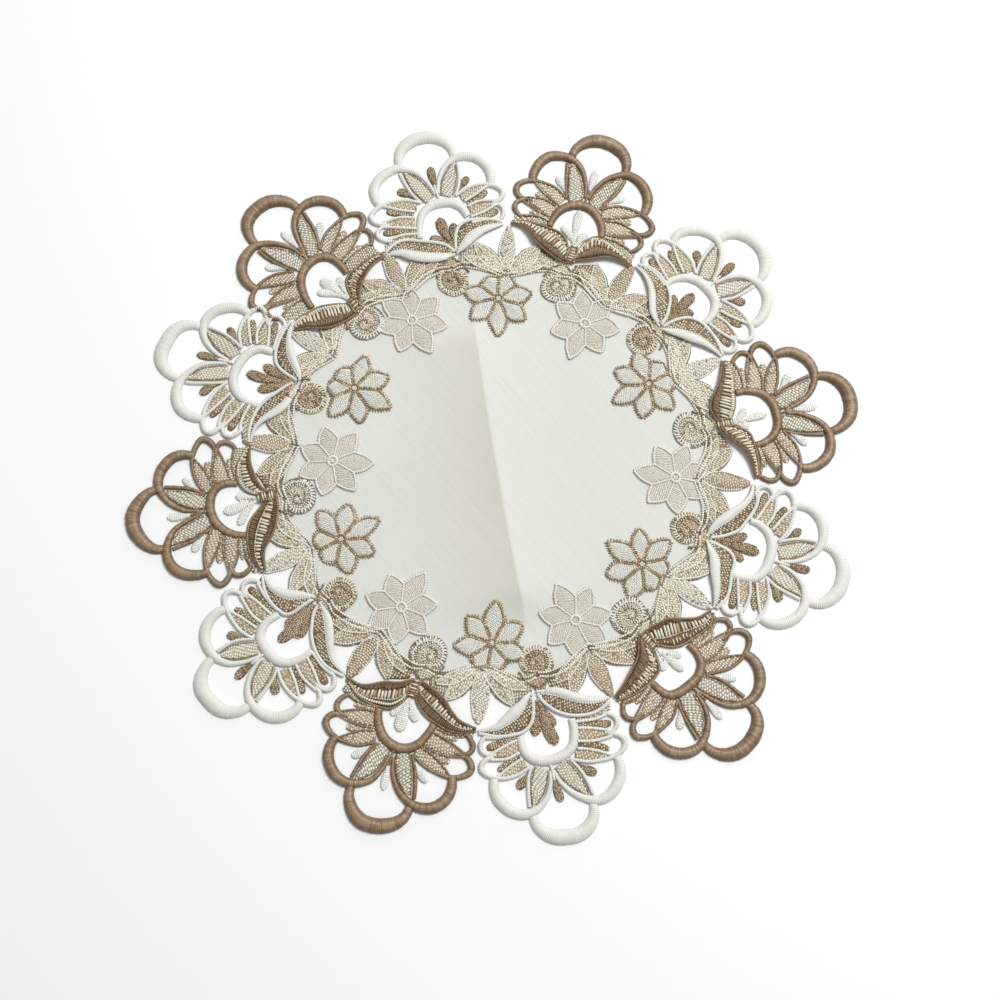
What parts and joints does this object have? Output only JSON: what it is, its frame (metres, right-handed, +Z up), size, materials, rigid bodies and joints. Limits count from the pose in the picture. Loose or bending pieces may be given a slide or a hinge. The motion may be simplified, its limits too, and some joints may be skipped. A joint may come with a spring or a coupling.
{
  "type": "lace placemat",
  "caption": "Round lace placemat: plain woven middle under a wide openwork border of looped brown and white fans and flower sprays.",
  "frame": {"origin": "centre of the mat's outline box, on the plane the mat lies on", "axes": "+Z up out of the face, +Y towards the far edge, +X to the right"},
  "size_m": [0.3638, 0.3632, 0.005],
  "materials": {
    "ground_cloth": "fine plain weave, matt, off-white",
    "brown_thread": "satin-stitched brown viscose thread, soft sheen",
    "white_thread": "satin-stitched off-white viscose thread, soft sheen",
    "cream_lace": "open net of cream and brown thread, matt",
    "beige_lace": "open net of beige thread, matt"
  },
  "bodies": {
    "root": {"ground_cloth": "ground_cloth", "fan_white_1": "white_thread", "fan_brown_1": "brown_thread", "fan_white_2": "white_thread", "fan_brown_2": "brown_thread", "fan_white_3": "white_thread", "fan_brown_3": "brown_thread", "fan_white_4": "white_thread", "fan_brown_4": "brown_thread", "fan_white_5": "white_thread", "fan_brown_5": "brown_thread", "fan_white_6": "white_thread", "fan_brown_6": "brown_thread", "spray_brown_1": "cream_lace", "spray_white_1": "beige_lace", "spray_brown_2": "cream_lace", "spray_white_2": "beige_lace", "spray_brown_3": "cream_lace", "spray_white_3": "beige_lace", "spray_brown_4": "cream_lace", "spray_white_4": "beige_lace", "spray_brown_5": "cream_lace", "spray_white_5": "beige_lace", "spray_brown_6": "cream_lace", "spray_white_6": "beige_lace"}
  },
  "joints": []
}
